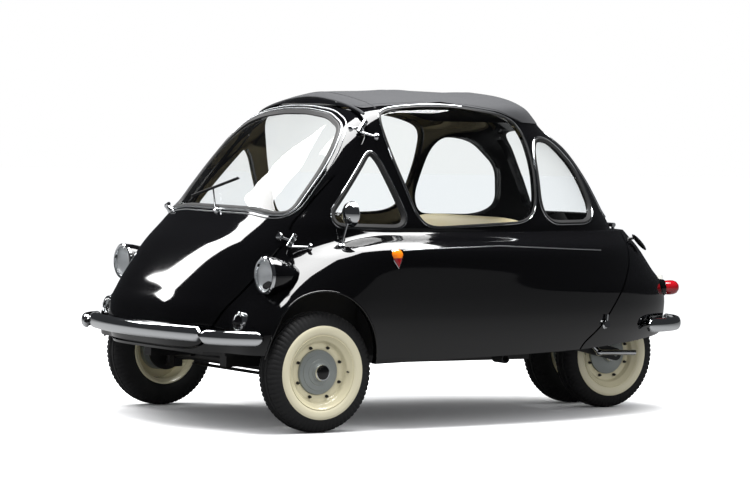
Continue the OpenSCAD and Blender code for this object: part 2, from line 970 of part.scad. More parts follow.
module exhaust() {
    color("silver") {
        bar([rear_x + 110, arm_y + 34, wheel_z + 12], [rear_x - 80, arm_y + 34, wheel_z + 8], 11);
        bar([rear_x + 110, arm_y + 34, wheel_z + 12], place([-700, 140, 430]), 11);
        translate([rear_x + 110, arm_y + 34, wheel_z + 12])
            sphere(r = 15);
    }
}

body_shell();
fabric_roof();
front_door();
windscreen();
side_windows();
rear_window();
tail_cover();
door_hinges();
door_hinge_arms();
door_handle();
wiper();
door_trim();
headlamps();
headlamp_lenses();
marker_lamps();
side_lamps();
tail_lamps();
centre_bumper();
front_corner_bumpers();
rear_bumpers();
number_plate();
tail_fittings();
wing_mirror();
side_trims();
floor_pan();
rear_bulkhead();
seat_frame();
seat_cushion();
seat_backrest();
steering_column();
steering_wheel();
foot_controls();
jacking_tubes();
front_axle_beam();
knuckle_left();
knuckle_right();
tie_rod();
hub_left();
hub_right();
front_rim_left();
front_rim_right();
front_tyre_left();
front_tyre_right();
rear_swing_arm();
rear_axle();
rear_rims();
rear_tyres();
engine_block();
exhaust();
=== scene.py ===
import math

import bmesh
import bpy
import numpy as np
from mathutils import Matrix, Vector


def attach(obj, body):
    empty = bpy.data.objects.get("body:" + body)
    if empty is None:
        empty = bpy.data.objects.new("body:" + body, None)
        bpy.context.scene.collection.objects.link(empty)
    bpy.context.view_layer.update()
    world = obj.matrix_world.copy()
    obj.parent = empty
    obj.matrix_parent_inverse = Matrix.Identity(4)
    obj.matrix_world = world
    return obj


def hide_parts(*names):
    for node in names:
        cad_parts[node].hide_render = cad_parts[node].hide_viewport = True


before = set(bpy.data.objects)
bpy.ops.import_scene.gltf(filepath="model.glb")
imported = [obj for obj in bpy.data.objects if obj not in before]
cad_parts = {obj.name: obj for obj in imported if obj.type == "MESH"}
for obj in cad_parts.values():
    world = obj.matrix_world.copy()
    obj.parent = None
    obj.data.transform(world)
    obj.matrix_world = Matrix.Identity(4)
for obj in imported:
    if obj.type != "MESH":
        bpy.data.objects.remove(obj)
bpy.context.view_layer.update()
MM = 0.001

# ---------------------------------------------------------------- body form
# The body is a stack of superellipse sections, as in the part's own source.
# Columns: height, widest station, front reach, rear reach, half width,
# squareness of the front half and of the rear half; millimetres.
CABIN = np.array([
    [215, 380, 1150, -1000, 430, 3.6, 2.4],
    [300, 380, 1200, -1080, 465, 3.8, 2.4],
    [380, 380, 1218, -1120, 488, 3.8, 2.4],
    [448, 380, 1210, -1130, 505, 3.8, 2.4],
    [520, 380, 1172, -1110, 525, 3.7, 2.4],
    [608, 380, 1112, -1060, 545, 3.6, 2.4],
    [703, 380, 1030, -1010, 562, 3.6, 2.4],
    [782, 380, 935, -965, 562, 3.8, 2.4],
    [843, 380, 868, -925, 547, 4.0, 2.4],
    [910, 380, 815, -882, 533, 4.0, 2.4],
    [978, 380, 762, -835, 515, 4.0, 2.4],
    [1090, 380, 668, -735, 480, 3.8, 2.4],
    [1177, 350, 578, -610, 455, 3.3, 2.4],
    [1225, 300, 520, -555, 438, 3.0, 2.5],
    [1255, 220, 490, -520, 405, 2.8, 2.6],
    [1280, 120, 462, -495, 330, 2.5, 2.5],
    [1298, 20, 425, -470, 230, 2.2, 2.4],
    [1311, -40, 330, -430, 130, 2.0, 2.2],
    [1318, -80, 150, -330, 60, 2.0, 2.0]], float)
WIDE = np.array([
    [215, 380, 1050, -1138, 640, 12.0, 2.3],
    [300, 380, 1080, -1203, 672, 12.0, 2.3],
    [380, 380, 1082, -1226, 684, 11.0, 2.3],
    [448, 380, 1062, -1229, 688, 8.0, 2.3],
    [520, 380, 1015, -1218, 689, 5.6, 2.3],
    [600, 380, 945, -1140, 689, 4.2, 2.3],
    [660, 380, 862, -1080, 687, 3.6, 2.3],
    [690, 380, 800, -1048, 680, 3.4, 2.3],
    [706, 380, 765, -1030, 668, 3.2, 2.3],
    [722, 380, 728, -1010, 645, 3.0, 2.3],
    [742, 380, 680, -990, 600, 2.8, 2.3],
    [765, 380, 620, -970, 540, 2.6, 2.3]], float)
BLEND = 14
SKIN_T = 26
LOW_Z, TOP_Z = 225, 1318


def column(table, c, z):
    """Monotone cubic through one column of a section table."""
    zs, vs = table[:, 0], table[:, c]
    z = np.clip(z, zs[0], zs[-1])
    i = np.clip(np.searchsorted(zs, z, side="right") - 1, 0, len(zs) - 2)
    sec = np.diff(vs) / np.diff(zs)
    prod = sec[:-1] * sec[1:]
    total = np.where(sec[:-1] + sec[1:] == 0, 1, sec[:-1] + sec[1:])
    inner = np.where(prod > 0, 2 * prod / total, 0)
    lean = np.concatenate([[sec[0]], inner, [sec[-1]]])
    h = zs[i + 1] - zs[i]
    s = (z - zs[i]) / h
    return ((2 * s**3 - 3 * s**2 + 1) * vs[i] + (s**3 - 2 * s**2 + s) * h * lean[i]
            + (3 * s**2 - 2 * s**3) * vs[i + 1] + (s**3 - s**2) * h * lean[i + 1])


def reach(table, z, c, s):
    w = column(table, 1, z)
    front = c >= 0
    a = np.where(front, column(table, 2, z) - w, w - column(table, 3, z))
    n = np.where(front, column(table, 5, z), column(table, 6, z))
    return ((np.abs(c) / a)**n + (np.abs(s) / column(table, 4, z))**n)**(-1 / n)


def skin(z, a):
    """Points of the outer surface in mm, from table heights and angles in degrees."""
    z, a = np.broadcast_arrays(np.asarray(z, float), np.asarray(a, float))
    c, s = np.cos(np.radians(a)), np.sin(np.radians(a))
    r = reach(CABIN, z, c, s)
    wide = (r**BLEND + reach(WIDE, z, c, s)**BLEND)**(1 / BLEND)
    r = np.where(z < WIDE[-1, 0], wide, r)
    return np.stack([column(CABIN, 1, z) + r * c, r * s, z], -1)


def skin_normal(z, a):
    u = skin(z, a + 1.0) - skin(z, a - 1.0)
    v = skin(np.minimum(z + 3, TOP_Z), a) - skin(np.maximum(z - 3, 216), a)
    n = np.cross(u, v)
    return n / np.linalg.norm(n, axis=-1, keepdims=True)


def angle_of(p):
    return np.degrees(np.arctan2(p[..., 1], p[..., 0] - column(CABIN, 1, p[..., 2])))


def solve(z, value, axis, lo, hi):
    """Angle between lo and hi where the skin's x (axis 0) or y (axis 1) is value."""
    z, value = np.asarray(z, float), np.asarray(value, float)
    a = np.full(z.shape, float(lo))
    b = np.full(z.shape, float(hi))
    up = skin(z, b)[..., axis] > skin(z, a)[..., axis]
    for _ in range(24):
        m = (a + b) / 2
        high = (skin(z, m)[..., axis] > value) == up
        b = np.where(high, m, b)
        a = np.where(high, a, m)
    return (a + b) / 2


def on_side(x, z, side=1):
    """Skin points and normals on the left (side 1) or right (-1), from x and z."""
    a = solve(z, x, 0, 0.5, 179.5)
    p, n = skin(z, a), skin_normal(z, a)
    flip = np.array([1, side, 1])
    return p * flip, n * flip


def on_front(y, z):
    a = solve(z, y, 1, -80, 80)
    return skin(z, a), skin_normal(z, a)


def on_rear(y, z):
    a = solve(z, y, 1, 100, 260)
    return skin(z, a), skin_normal(z, a)


# ---------------------------------------------------------------- materials
# One call per material: its common name, its sRGB colour and its finish.
def linear(hexed):
    c = [int(hexed[i:i + 2], 16) / 255 for i in (1, 3, 5)]
    return [v / 12.92 if v <= 0.04045 else ((v + 0.055) / 1.055)**2.4 for v in c] + [1]


def add(tree, kind, links=(), **settings):
    """One node with its settings, and links as (socket name, output)."""
    node = tree.nodes.new(kind)
    for key, value in settings.items():
        if hasattr(node, key):
            setattr(node, key, value)
        else:
            node.inputs[key.replace("_", " ")].default_value = value
    for name, out in links:
        tree.links.new(out, node.inputs[name])
    return node


def material(name, colour, rough, metal=0.0, coat=0.0, ior=1.5, bump=None, mottle=0.0,
             transmission=0.0):
    """bump is (kind, size in mm, depth in mm); mottle is a small change of shade."""
    m = bpy.data.materials.new(name)
    m.use_nodes = True
    t = m.node_tree
    bsdf = t.nodes["Principled BSDF"]
    for key, value in (("Base Color", linear(colour)), ("Roughness", rough),
                       ("Metallic", metal), ("Coat Weight", coat), ("IOR", ior),
                       ("Coat Roughness", 0.02), ("Transmission Weight", transmission)):
        bsdf.inputs[key].default_value = value
    coord = add(t, "ShaderNodeTexCoord")
    if mottle:
        noise = add(t, "ShaderNodeTexNoise", [("Vector", coord.outputs["Object"])],
                    Scale=9.0, Detail=4.0)
        ramp = add(t, "ShaderNodeMapRange", [("Value", noise.outputs["Fac"])])
        ramp.inputs["To Min"].default_value = 1 - mottle
        ramp.inputs["To Max"].default_value = 1 + mottle
        mix = add(t, "ShaderNodeHueSaturation", [("Value", ramp.outputs["Result"])])
        mix.inputs["Color"].default_value = linear(colour)
        t.links.new(mix.outputs["Color"], bsdf.inputs["Base Color"])
    if bump:
        kind, size, depth = bump
        scale = 1 / (size * MM)
        if kind == "weave":
            a = add(t, "ShaderNodeTexWave", [("Vector", coord.outputs["Object"])],
                    Scale=scale / 2 / math.pi * 3.2, bands_direction="X")
            b = add(t, "ShaderNodeTexWave", [("Vector", coord.outputs["Object"])],
                    Scale=scale / 2 / math.pi * 3.2, bands_direction="Y")
            both = add(t, "ShaderNodeMath", operation="MULTIPLY")
            t.links.new(a.outputs["Fac"], both.inputs[0])
            t.links.new(b.outputs["Fac"], both.inputs[1])
            height = both.outputs[0]
        elif kind == "ribs":
            height = add(t, "ShaderNodeTexWave", [("Vector", coord.outputs["Object"])],
                         Scale=scale / 2 / math.pi * 3.2, bands_direction="Y").outputs["Fac"]
        else:
            height = add(t, "ShaderNodeTexNoise", [("Vector", coord.outputs["Object"])],
                         Scale=scale, Detail=3.0).outputs["Fac"]
        node = add(t, "ShaderNodeBump", [("Height", height)], Strength=0.6)
        node.inputs["Distance"].default_value = depth * MM
        t.links.new(node.outputs["Normal"], bsdf.inputs["Normal"])
    return m


def glass(name, tint, strength):
    """Thin glass: clear to the light, with a shine on the side that faces out."""
    m = bpy.data.materials.new(name)
    m.use_nodes = True
    t = m.node_tree
    t.nodes.clear()
    fresnel = add(t, "ShaderNodeFresnel", IOR=1.5)
    side = add(t, "ShaderNodeNewGeometry")
    front = add(t, "ShaderNodeMath", operation="SUBTRACT")
    front.inputs[0].default_value = strength
    t.links.new(side.outputs["Backfacing"], front.inputs[1])
    boost = add(t, "ShaderNodeMath", operation="MULTIPLY", use_clamp=True)
    t.links.new(fresnel.outputs[0], boost.inputs[0])
    t.links.new(front.outputs[0], boost.inputs[1])
    clear = add(t, "ShaderNodeBsdfTransparent", Color=linear(tint))
    shine = add(t, "ShaderNodeBsdfGlossy", Roughness=0.01)
    mix = add(t, "ShaderNodeMixShader", [("Fac", boost.outputs[0])])
    t.links.new(clear.outputs[0], mix.inputs[1])
    t.links.new(shine.outputs[0], mix.inputs[2])
    add(t, "ShaderNodeOutputMaterial", [("Surface", mix.outputs[0])])
    return m


PAINT = material("black_enamel_gloss", "#050506", 0.05, ior=1.52, mottle=0.02)
INNER = material("black_enamel_satin", "#0B0B0C", 0.45)
FABRIC = material("roof_cloth_charcoal", "#1F2023", 0.85, bump=("weave", 1.4, 0.25), mottle=0.08)
GLASS = glass("window_glass_clear", "#FDFEFE", 1.0)
LENS = glass("lamp_glass_clear", "#FEFEFE", 1.0)
CHROME = material("chrome_plate_polished", "#D8DADC", 0.07, metal=1.0)
SILVER = material("lamp_reflector_silvered", "#D6D9DB", 0.3, metal=0.35)
ALLOY = material("aluminium_trim_satin", "#B4B6B8", 0.28, metal=1.0)
RUBBER = material("rubber_seal_matte", "#131314", 0.6)
TYRE = material("tyre_rubber_worn", "#1B1B1C", 0.78, bump=("noise", 1.2, 0.15), mottle=0.1)
CREAM = material("rim_enamel_cream", "#D9D1B0", 0.25, coat=0.5, mottle=0.02)
WALL = material("tyre_band_cream", "#DAD3B6", 0.42, mottle=0.03)
HUBGREY = material("hub_paint_grey", "#8F9492", 0.35, metal=0.35, mottle=0.03)
CAPBLACK = material("hub_cap_black", "#0A0A0B", 0.2)
TRIM = material("leathercloth_cream", "#D8C9A0", 0.5, bump=("noise", 1.0, 0.1), mottle=0.04)
TAN = material("leathercloth_tan", "#8A6A45", 0.5, bump=("noise", 1.0, 0.1), mottle=0.05)
SEAT = material("seat_leathercloth_cream", "#D6C7A0", 0.48, bump=("noise", 1.1, 0.15), mottle=0.05)
STEEL = material("chassis_steel_black", "#161617", 0.5, mottle=0.1)
IVORY = material("steering_wheel_ivory", "#D9CFAF", 0.25, coat=0.4)
AMBER = material("lens_amber_plastic", "#E8780F", 0.12, coat=0.8, mottle=0.05)
RED = material("lens_red_plastic", "#8E0A14", 0.12, coat=0.8, mottle=0.05)
ENGINE = material("engine_alloy_cast", "#77797A", 0.55, metal=0.8, bump=("noise", 2.0, 0.2))
PLATE = material("plate_enamel_white", "#DADAD4", 0.35)
BAKELITE = material("knob_plastic_black", "#0C0C0D", 0.25)


# ---------------------------------------------------------------- mesh tools
def piece(name, bm, mat, body, sharp=35):
    """A finished piece from a bmesh in mm, shaded smooth but for edges over sharp degrees."""
    bmesh.ops.recalc_face_normals(bm, faces=bm.faces)
    bmesh.ops.scale(bm, vec=(MM, MM, MM), verts=bm.verts)
    for f in bm.faces:
        f.smooth = True
    me = bpy.data.meshes.new(name)
    bm.to_mesh(me)
    bm.free()
    me.set_sharp_from_angle(angle=math.radians(sharp))
    ob = bpy.data.objects.new(name, me)
    bpy.context.scene.collection.objects.link(ob)
    for m in mat if isinstance(mat, (list, tuple)) else [mat]:
        me.materials.append(m)
    if body:
        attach(ob, body)
    return ob


def grid_shell(d0, d1, rings, cols):
    """Closed shell between two depths below the skin, as a bmesh in mm."""
    zs = np.concatenate([np.linspace(LOW_Z, 640, rings // 3, endpoint=False),
                         np.linspace(640, 770, rings // 4, endpoint=False),
                         np.linspace(770, 1240, rings // 3, endpoint=False),
                         TOP_Z - 78 * (1 - np.linspace(0, 1, rings // 6))**1.6])
    ang = np.arange(cols) * 360 / cols
    z, a = np.meshgrid(zs, ang, indexing="ij")
    base, n = skin(z, a), skin_normal(z, a)
    bm = bmesh.new()
    layers = []
    for d in (d0, d1):
        pts = base - d * n
        layers.append([[bm.verts.new(p) for p in row] for row in pts])
    rows = len(zs)
    for k, layer in enumerate(layers):
        for i in range(rows - 1):
            for j in range(cols):
                q = [layer[i][j], layer[i][(j + 1) % cols],
                     layer[i + 1][(j + 1) % cols], layer[i + 1][j]]
                bm.faces.new(q if k == 0 else q[::-1])
        top = layer[rows - 1]
        bm.faces.new(top if k == 0 else top[::-1])
    for j in range(cols):
        k = (j + 1) % cols
        bm.faces.new([layers[0][0][k], layers[0][0][j], layers[1][0][j], layers[1][0][k]])
    return bm


def rounded(points, r):
    """Outline with each corner rounded by a short curve that starts r before it."""
    out = []
    pts = [np.array(p, float) for p in points]
    for i, p in enumerate(pts):
        a, b = pts[i - 1] - p, pts[(i + 1) % len(pts)] - p
        la, lb = np.linalg.norm(a), np.linalg.norm(b)
        s, e = p + a / la * min(r, la * 0.48), p + b / lb * min(r, lb * 0.48)
        for t in np.linspace(0, 1, 7):
            out.append((1 - t)**2 * s + 2 * t * (1 - t) * p + t * t * e)
    return np.array(out)


def prism(outline, axis, lo, hi):
    """Closed prism of an outline: axis "y" takes (x, z) points, axis "x" takes (y, z)."""
    bm = bmesh.new()
    ends = []
    for v in (lo, hi):
        ends.append([bm.verts.new((p[0], v, p[1]) if axis == "y" else (v, p[0], p[1]))
                     for p in outline])
    n = len(outline)
    bm.faces.new(ends[0])
    bm.faces.new(ends[1][::-1])
    for i in range(n):
        bm.faces.new([ends[0][i], ends[1][i], ends[1][(i + 1) % n], ends[0][(i + 1) % n]])
    bmesh.ops.recalc_face_normals(bm, faces=bm.faces)
    return bm


def as_object(name, bm):
    me = bpy.data.meshes.new(name)
    bm.to_mesh(me)
    bm.free()
    ob = bpy.data.objects.new(name, me)
    bpy.context.scene.collection.objects.link(ob)
    return ob


def carve(bm, keep=(), holes=()):
    """The bmesh cut by prisms: each of keep bounds it, each of holes is taken away."""
    ob = as_object("carve", bm)
    tools = []
    for op, group in (("INTERSECT", keep), ("DIFFERENCE", holes)):
        for tool_bm in group:
            tool = as_object("tool", tool_bm)
            mod = ob.modifiers.new("cut", "BOOLEAN")
            mod.operation = op
            mod.solver = "MANIFOLD"
            mod.object = tool
            tools.append(tool)
    deps = bpy.context.evaluated_depsgraph_get()
    out = bmesh.new()
    out.from_mesh(ob.evaluated_get(deps).to_mesh())
    for o in [ob] + tools:
        me = o.data
        bpy.data.objects.remove(o)
        bpy.data.meshes.remove(me)
    return out


def true_normals(ob, depth):
    """Gives the faces that lie on the skin the skin's own normals; depth is not used."""
    me = ob.data
    n = len(me.vertices)
    co = np.empty(n * 3)
    me.vertices.foreach_get("co", co)
    co = co.reshape(-1, 3) / MM
    z = np.clip(co[:, 2], LOW_Z, TOP_Z - 4)
    vn = skin_normal(z, angle_of(np.column_stack([co[:, :2], z])))
    loops = len(me.loops)
    lv = np.empty(loops, int)
    me.loops.foreach_get("vertex_index", lv)
    corner = np.empty(loops * 3)
    me.corner_normals.foreach_get("vector", corner)
    corner = corner.reshape(-1, 3)
    dot = (corner * vn[lv]).sum(1)
    use = (dot > 0.9) & (co[lv, 2] < TOP_Z - 6)
    corner[use] = vn[lv][use]
    me.normals_split_custom_set(corner)


def sweep(path, normals, section, closed=True):
    """A section of (across, out) points in mm swept along a path that has normals."""
    path, normals = np.asarray(path, float), np.asarray(normals, float)
    n = len(path)
    if closed:
        tang = np.roll(path, -1, 0) - np.roll(path, 1, 0)
    else:
        tang = np.gradient(path, axis=0)
    tang /= np.linalg.norm(tang, axis=1, keepdims=True)
    side = np.cross(tang, normals)
    side /= np.linalg.norm(side, axis=1, keepdims=True)
    bm = bmesh.new()
    rows = [[bm.verts.new(path[i] + u * side[i] + v * normals[i]) for u, v in section]
            for i in range(n)]
    m = len(section)
    for i in range(n if closed else n - 1):
        a, b = rows[i], rows[(i + 1) % n]
        for j in range(m):
            k = (j + 1) % m
            bm.faces.new([a[j], b[j], b[k], a[k]])
    if not closed:
        bm.faces.new(rows[0])
        bm.faces.new(rows[-1][::-1])
    return bm


def round_section(w, h, base=-2.0, steps=7):
    """Half-round section w wide and h high that stands on base."""
    arc = [(w / 2 * math.cos(t), h * math.sin(t)) for t in np.linspace(0, math.pi, steps)]
    return [(w / 2, base)] + arc + [(-w / 2, base)]


def turn(profile, steps=96):
    """A solid of revolution about Z from (radius, height) points, closed on itself."""
    bm = bmesh.new()
    rows = []
    for i in range(steps):
        t = 2 * math.pi * i / steps
        rows.append([bm.verts.new((r * math.cos(t), r * math.sin(t), h)) for r, h in profile])
    m = len(profile)
    for i in range(steps):
        a, b = rows[i], rows[(i + 1) % steps]
        for j in range(m):
            k = (j + 1) % m
            bm.faces.new([a[j], b[j], b[k], a[k]])
    bmesh.ops.remove_doubles(bm, verts=bm.verts, dist=0.001)
    bmesh.ops.dissolve_degenerate(bm, dist=0.001, edges=bm.edges)
    return bm


def rod(p, q, r, steps=16):
    """A round bar from p to q."""
    p, q = Vector(p), Vector(q)
    bm = bmesh.new()
    bmesh.ops.create_cone(bm, cap_ends=True, segments=steps, radius1=r, radius2=r,
                          depth=(q - p).length)
    turn_to = (q - p).to_track_quat("Z", "Y").to_matrix().to_4x4()
    bmesh.ops.transform(bm, matrix=Matrix.Translation((p + q) / 2) @ turn_to, verts=bm.verts)
    return bm


def block(centre, size, bevel=0.0):
    bm = bmesh.new()
    bmesh.ops.create_cube(bm, size=1.0)
    bmesh.ops.scale(bm, vec=size, verts=bm.verts)
    if bevel:
        bmesh.ops.bevel(bm, geom=bm.edges[:], offset=bevel, affect="EDGES", segments=3,
                        profile=0.5, material=-1)
    bmesh.ops.translate(bm, vec=centre, verts=bm.verts)
    return bm


def join(*parts):
    """One bmesh that holds them all."""
    out = parts[0]
    for b in parts[1:]:
        me = bpy.data.meshes.new("join")
        b.to_mesh(me)
        b.free()
        out.from_mesh(me)
        bpy.data.meshes.remove(me)
    return out


def moved(bm, matrix):
    bmesh.ops.transform(bm, matrix=matrix, verts=bm.verts)
    return bm


def facing(place, direction):
    """Matrix that takes local Z to a direction at a place, with local Y kept upright."""
    q = Vector(direction).to_track_quat("Z", "Y")
    return Matrix.Translation(Vector(place)) @ q.to_matrix().to_4x4()


def mirror_y(bm):
    m = bm.copy()
    bmesh.ops.scale(m, vec=(1, -1, 1), verts=m.verts)
    bmesh.ops.reverse_faces(m, faces=m.faces)
    return m


def pair(bm):
    return join(bm, mirror_y(bm))


# ---------------------------------------------------------------- panels
# Outlines in mm: the door and the end windows in (y, z), the sides in (x, z).
DOOR_EDGE = [
    (350, 312), (398, 373), (432, 444), (462, 510), (478, 570), (484, 640), (490, 725),
    (474, 790), (474, 853), (480, 925), (480, 996), (468, 1062), (450, 1129), (426, 1168),
    (385, 1205), (300, 1237), (150, 1250)]
DOOR_SEAM_X = [1129, 1097, 1060, 1010, 965, 915, 850, 815, 759, 694, 628, 558, 514, 506, 498]
HEADER_CUT = [(460, 1233), (497, 1263), (582, 1332), (1500, 1332), (1500, 200), (1120, 200)]
SCREEN = [(250, 842), (400, 826), (447, 834), (449, 893), (446, 998), (420, 1100),
          (372, 1172), (252, 1213), (90, 1229)]
QUARTER = [(478, 1079), (681, 831), (664, 785), (376, 779), (345, 817), (443, 1041)]
SIDE = [(418, 1205), (371, 1240), (200, 1256), (30, 1258), (-216, 1230), (-335, 1180),
        (-352, 1031), (-325, 850), (-254, 802), (235, 779), (289, 818), (367, 1023)]
REAR_QUARTER = [(-425, 1145), (-381, 1092), (-358, 870), (-402, 798), (-658, 799),
                (-723, 847), (-675, 1012), (-542, 1126)]
REAR = [(251, 821), (240, 900), (215, 1030), (170, 1140), (110, 1172)]
ROOF = [(458, 1400), (458, 1262), (441, 1243), (371, 1254), (66, 1274), (-201, 1244),
        (-345, 1202), (-600, 1202), (-700, 1400)]
TAIL = [(-1500, 770), (-890, 770), (-843, 677), (-822, 624), (-714, 497), (-611, 385),
        (-487, 302), (-470, 150), (-1500, 150)]
BELOW = [(-1500, 348), (-1108, 325), (-534, 291), (38, 274), (545, 258), (560, 240),
         (1008, 240), (1012, 300), (1500, 285), (1500, 0), (-1500, 0)]
AXLE_X, TRACK_Y, WHEEL_Z = 785, 610, 231
REAR_X, TWIN_Y = -975, 116
TYRE_R, TYRE_W = 231, 112
ARCH = ([(AXLE_X + 240, 200)]
        + [(AXLE_X + 243 * math.cos(t), 262 + 280 * math.sin(t))
           for t in np.linspace(0, math.pi, 37)] + [(AXLE_X - 240, 200)])
GAP = 8.5
CORNER_ROOM = 6
RINGS, COLS = 108, 400


def mirrored(edge):
    return list(edge) + [(-y, z) for y, z in reversed(edge)]


def grown(outline, d):
    """The outline moved outwards by d mm."""
    p = np.array(outline, float)
    if d == 0:
        return p
    t = np.roll(p, -1, 0) - np.roll(p, 1, 0)
    t /= np.linalg.norm(t, axis=1, keepdims=True)
    area = np.sum(p[:, 0] * np.roll(p[:, 1], -1) - np.roll(p[:, 0], -1) * p[:, 1])
    n = np.column_stack([t[:, 1], -t[:, 0]]) * (1 if area > 0 else -1)
    return p + d * n


def even(outline, step):
    """The closed outline with points every step mm or so."""
    p = np.vstack([outline, outline[:1]])
    s = np.concatenate([[0], np.cumsum(np.linalg.norm(np.diff(p, axis=0), axis=1))])
    t = np.linspace(0, s[-1], max(24, int(s[-1] / step)), endpoint=False)
    return np.column_stack([np.interp(t, s, p[:, k]) for k in (0, 1)])


door_yz = rounded(mirrored(DOOR_EDGE), 60)
hole_yz = rounded(mirrored([(y + CORNER_ROOM, z + CORNER_ROOM) if 1100 < z < 1220 else (y, z)
                            for y, z in DOOR_EDGE]), 60)
door_xz = [(x - 34, z) for x, (y, z) in zip(DOOR_SEAM_X, DOOR_EDGE)] + HEADER_CUT
screen_yz = rounded(mirrored(SCREEN), 46)
rear_yz = rounded(mirrored(REAR), 55)
quarter_xz = rounded(QUARTER, 34)
side_xz = rounded(SIDE, 70)
rear_quarter_xz = rounded(REAR_QUARTER, 60)
tail_xz = rounded(TAIL, 50)


def door_zone(grow=0.0, edge=None):
    along = prism(grown(door_yz if edge is None else edge, grow), "x", 350, 1500)
    return carve(along, keep=[prism(grown(door_xz, grow), "y", -700, 700)])


def both(outline, lo, hi=800):
    return [prism(outline, "y", lo, hi), prism(outline, "y", -hi, -lo)]


def panel(name, d0, d1, mat, body, keep=(), holes=(), stands_for=(), shine=True):
    bm = carve(grid_shell(d0, d1, RINGS, COLS), keep, holes)
    ob = piece(name, bm, mat, body, sharp=40)
    if shine:
        true_normals(ob, d0)
    if stands_for:
        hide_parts(*stands_for)
    return ob


body_panel = panel(
    "body_panels", 0, SKIN_T, PAINT, "body",
    holes=[door_zone(GAP, hole_yz), prism(grown(tail_xz, GAP / 2), "y", -800, 800),
           prism(BELOW, "y", -800, 800), prism(ROOF, "y", -800, 800),
           prism(rear_yz, "x", -1300, -300)]
    + both(quarter_xz, 250) + both(side_xz, 150) + both(rear_quarter_xz, 120)
    + both(ARCH, 440),
    stands_for=["body_shell"])
door_panel = panel("front_door_panel", 0, SKIN_T, PAINT, "door", keep=[door_zone()],
                   holes=[prism(screen_yz, "x", 350, 1500)], stands_for=["front_door"])
tail_panel = panel("tail_cover_panel", 0, SKIN_T, PAINT, "tail",
                   keep=[prism(grown(tail_xz, -GAP / 2), "y", -800, 800)],
                   holes=[prism(BELOW, "y", -800, 800)], stands_for=["tail_cover"])

# Glass sits 8 mm down in each opening.
panel("windscreen_glass", 8, 13, GLASS, "door", keep=[prism(screen_yz, "x", 350, 1500)],
      stands_for=["windscreen"])
panel("rear_glass", 8, 13, GLASS, "body", keep=[prism(rear_yz, "x", -1300, -300)],
      stands_for=["rear_window"])
for label, outline, lo in (("quarter", quarter_xz, 250), ("side", side_xz, 150),
                           ("rear_quarter", rear_quarter_xz, 120)):
    for hand, zone in zip(("left", "right"), both(outline, lo)):
        panel(f"{label}_glass_{hand}", 8, 13, GLASS, "body", keep=[zone])
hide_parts("side_windows")

# ---------------------------------------------------------------- fabric roof
# Folding cloth over one bow, with a hem along both sides and the front and a seam behind the
# header.
ROOF_CLOTH = rounded(ROOF[1:8] + [(-760, 1400), (458, 1400)], 12)
roof = carve(grid_shell(-3.5, -1.5, RINGS, COLS), keep=[prism(ROOF_CLOTH, "y", -800, 800)])
for v in roof.verts:
    bow = math.exp(-((v.co.x - 70) / 55)**2) + 0.7 * math.exp(-((v.co.x + 300) / 60)**2)
    sag = 0.5 - 0.5 * math.cos(2 * math.pi * (v.co.x - 70) / 370)
    v.co.z += 3.0 * bow - 3.5 * sag * max(0.0, 1 - (v.co.y / 420)**2)
roof = piece("fabric_roof_cloth", roof, FABRIC, "body", sharp=50)
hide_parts("fabric_roof")


def roof_path(xs, edge):
    """Points and normals along the roof at stations xs and heights edge."""
    return on_side(np.array(xs, float), np.array(edge, float))


def strip(name, path, normals, section, mat, body, closed=True):
    return piece(name, sweep(path, normals, section, closed), mat, body)


hem_x = np.linspace(452, -345, 60)
hem_z = np.interp(hem_x, [p[0] for p in ROOF[1:7]][::-1], [p[1] for p in ROOF[1:7]][::-1]) + 5
hem_p, hem_n = roof_path(hem_x, hem_z)
hem_bm = sweep(hem_p, hem_n, round_section(11, 4.5, 0), closed=False)
hem = piece("roof_side_hems", pair(hem_bm), FABRIC, "body")

# The seam runs over the roof behind the header, and the header's own trim before it.
for label, x0, mat, width, high in (("roof_front_hem", 452, FABRIC, 12, 4.5),
                                    ("roof_header_seam", 395, FABRIC, 7, 5.0)):
    ys = np.linspace(-395, 395, 80)
    lo, hi = np.full(80, 1150.0), np.full(80, 1316.0)
    for _ in range(16):
        zs = (lo + hi) / 2
        a = solve(zs, np.full(80, float(x0)), 0, 0.5, 179.5)
        wide = skin(zs, a)[:, 1] > np.abs(ys)
        lo, hi = np.where(wide, zs, lo), np.where(wide, hi, zs)
    p, n = skin(zs, a), skin_normal(zs, a)
    sign = np.where(ys < 0, -1, 1)[:, None] * np.array([[0, 1, 0]]) + np.array([[1, 0, 1]])
    strip(label, p * sign, n * sign, round_section(width, high, 0), mat, "body", closed=False)

# ---------------------------------------------------------------- window frames
# Each pane has a rubber seal over the cut edge and a bright bead outside it.
def frame_of(label, outline, project, body, seal_w, bead_w, bead_out, bead_mat, seal_h=3.5):
    edge = even(outline, 12)
    p, n = project(edge)
    strip(label + "_seal", p, n, [(-seal_w, -9), (seal_w * 0.4, -1), (seal_w * 0.4, seal_h * 0.6),
                                  (0, seal_h), (-seal_w, -3)], RUBBER, body)
    if bead_w:
        wide = even(grown(outline, bead_out), 12)
        p, n = project(wide)
        strip(label + "_bead", p, n, round_section(bead_w, 5.0), bead_mat, body)


def outward_sweep(path, normals, section, closed=True):
    return sweep(path, normals, section, closed)


def left(edge):
    return on_side(edge[:, 0], edge[:, 1], 1)


def right(edge):
    return on_side(edge[:, 0], edge[:, 1], -1)


for hand, project in (("left", left), ("right", right)):
    frame_of("quarter_" + hand, quarter_xz, project, "body", 12, 5, 8, CHROME)
    frame_of("side_" + hand, side_xz, project, "body", 12, 5, 5, CHROME)
    frame_of("rear_quarter_" + hand, rear_quarter_xz, project, "body", 12, 6, 8, CHROME)
frame_of("windscreen", screen_yz, lambda e: on_front(e[:, 0], e[:, 1]), "door", 13, 7, 8,
         ALLOY)
frame_of("rear_window", rear_yz, lambda e: on_rear(e[:, 0], e[:, 1]), "body", 12, 7, 9, ALLOY)

